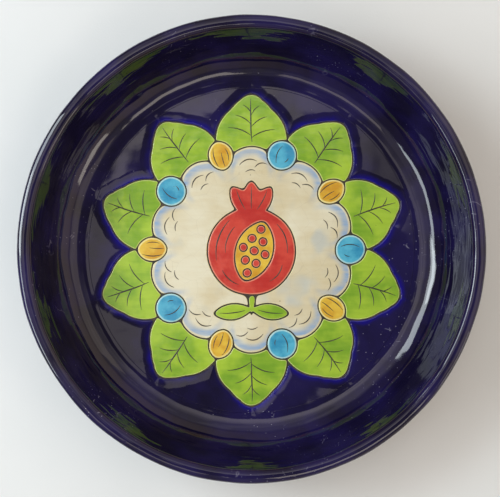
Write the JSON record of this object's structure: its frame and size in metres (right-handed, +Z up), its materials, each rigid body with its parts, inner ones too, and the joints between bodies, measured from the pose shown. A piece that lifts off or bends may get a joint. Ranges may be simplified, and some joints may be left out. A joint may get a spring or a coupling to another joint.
{
  "type": "glazed ceramic dish",
  "caption": "Round deep-blue glazed earthenware dish with a beaded lip, coved wall, foot ring and a well inlaid with colour glazes, for serving or display.",
  "frame": {"origin": "centre of the foot ring's bottom, on the table", "axes": "+Z up along the dish's axis of turning, +Y towards the top of the picture in the well, +X to its right"},
  "size_m": [0.24, 0.24, 0.05],
  "materials": {
    "cobalt_glaze": "deep cobalt blue gloss glaze over earthenware",
    "bare_clay": "bare fired earthenware, fine matt",
    "cream_glaze": "cream gloss glaze with pale blue brushing",
    "red_glaze": "coral red gloss glaze",
    "yellow_glaze": "warm yellow gloss glaze",
    "green_glaze": "mottled lime green gloss glaze",
    "turquoise_glaze": "turquoise gloss glaze"
  },
  "bodies": {
    "root": {"dish_body": "cobalt_glaze", "foot_tread": "bare_clay", "medallion": "cream_glaze", "pomegranate": "red_glaze", "pomegranate_seeds": "red_glaze", "seed_pocket": "yellow_glaze", "stem_leaves": "green_glaze", "front_leaves": "green_glaze", "back_leaves": "green_glaze", "wreath_lemons": "yellow_glaze", "well_ground": "cobalt_glaze", "wreath_plums": "turquoise_glaze"}
  },
  "joints": []
}
